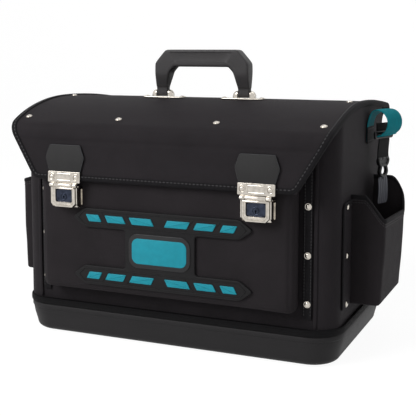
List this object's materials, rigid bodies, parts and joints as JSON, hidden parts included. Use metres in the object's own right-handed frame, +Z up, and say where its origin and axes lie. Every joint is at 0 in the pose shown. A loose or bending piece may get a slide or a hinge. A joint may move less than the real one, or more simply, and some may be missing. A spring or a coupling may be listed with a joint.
{
  "type": "tool bag",
  "caption": "Boxy fabric tool bag on a moulded plastic tray, with a curved hinged lid, key-locked front flap, folding carrying handle and open side pockets.",
  "frame": {"origin": "centre of the tray's flat underside", "axes": "+X to the bag's right seen from the front and along its length, +Y to its back, +Z up"},
  "size_m": [0.5618, 0.3333, 0.4126],
  "materials": {
    "tray_plastic": "grained matt dark grey moulding",
    "band": "ribbed matt black",
    "board": "matt grey",
    "fabric": "coated black woven fabric",
    "binding": "black woven tape",
    "padded_fabric": "padded black woven fabric",
    "badge_rubber": "matt black moulded rubber",
    "badge_teal": "satin teal",
    "plaque": "satin black",
    "nickel": "polished nickel plate",
    "dark_chrome": "polished black nickel",
    "leather": "smooth dark grey",
    "aluminium": "mill finish",
    "pin_steel": "bright",
    "teal_webbing": "teal woven webbing",
    "black_webbing": "black woven webbing",
    "clip_plastic": "satin black",
    "tag": "pale grey-blue, satin",
    "handle_plastic": "satin black"
  },
  "bodies": {
    "case": {"base_tray": "tray_plastic", "base_band": "band", "floor_board": "board", "front_wall": "fabric", "back_wall": "fabric", "side_wall_left": "fabric", "side_wall_right": "fabric", "front_panel": "padded_fabric", "badge_backing": "badge_rubber", "badge_inlays": "badge_teal", "badge_plaque": "plaque", "front_strip_left": "binding", "front_strip_right": "binding", "front_rivets": "nickel", "pocket_left": "fabric", "pocket_right": "fabric", "pocket_flanges_left": "binding", "pocket_flanges_right": "binding", "pocket_rivets": "nickel", "lock_base_left": "nickel", "lock_base_right": "nickel", "hinge_welt": "binding", "strap_loop": "teal_webbing", "strap_slider": "clip_plastic", "strap_tail": "black_webbing"},
    "lid": {"lid_panel": "fabric", "lid_binding": "binding", "lid_front_bar": "aluminium", "lid_handle_rail": "aluminium", "lid_rivets": "nickel", "leather_tab_left": "leather", "leather_tab_right": "leather", "strike_plate_left": "nickel", "strike_plate_right": "nickel", "strike_rivets": "nickel", "hasp_pins": "pin_steel", "handle_plate_left": "nickel", "handle_plate_right": "nickel", "handle_pins": "pin_steel"},
    "handle": {"handle_grip": "handle_plastic"},
    "hasp_left": {"hasp_frame_left": "nickel", "key_plate_left": "dark_chrome"},
    "hasp_right": {"hasp_frame_right": "nickel", "key_plate_right": "dark_chrome"},
    "key_left": {"key_plug_left": "dark_chrome"},
    "key_right": {"key_plug_right": "dark_chrome"},
    "strap_hook": {"snap_hook": "clip_plastic", "hang_tag": "tag"}
  },
  "joints": [
    {"name": "lid_hinge", "type": "hinge", "parent": "case", "child": "lid", "pos_m": [0, 0.1398, 0.321], "axis": [-1, 0, 0], "range_deg": [0, 110]},
    {"name": "handle_fold", "type": "hinge", "parent": "lid", "child": "handle", "pos_m": [0, -0.017, 0.3486], "axis": [1, 0, 0], "range_deg": [-80, 80]},
    {"name": "hasp_left_flip", "type": "hinge", "parent": "lid", "child": "hasp_left", "pos_m": [-0.1415, -0.17991, 0.22685], "axis": [-1, 0, 0], "range_deg": [0, 100]},
    {"name": "hasp_right_flip", "type": "hinge", "parent": "lid", "child": "hasp_right", "pos_m": [0.1415, -0.17991, 0.22685], "axis": [-1, 0, 0], "range_deg": [0, 100]},
    {"name": "key_left_turn", "type": "hinge", "parent": "hasp_left", "child": "key_left", "pos_m": [-0.1415, -0.17921, 0.21035], "axis": [0, -1, 0], "range_deg": [0, 90]},
    {"name": "key_right_turn", "type": "hinge", "parent": "hasp_right", "child": "key_right", "pos_m": [0.1415, -0.17921, 0.21035], "axis": [0, -1, 0], "range_deg": [0, 90]},
    {"name": "hook_swing", "type": "hinge", "parent": "case", "child": "strap_hook", "pos_m": [0.2568, 0.03, 0.2598], "axis": [0, 1, 0], "range_deg": [-10, 10]}
  ]
}
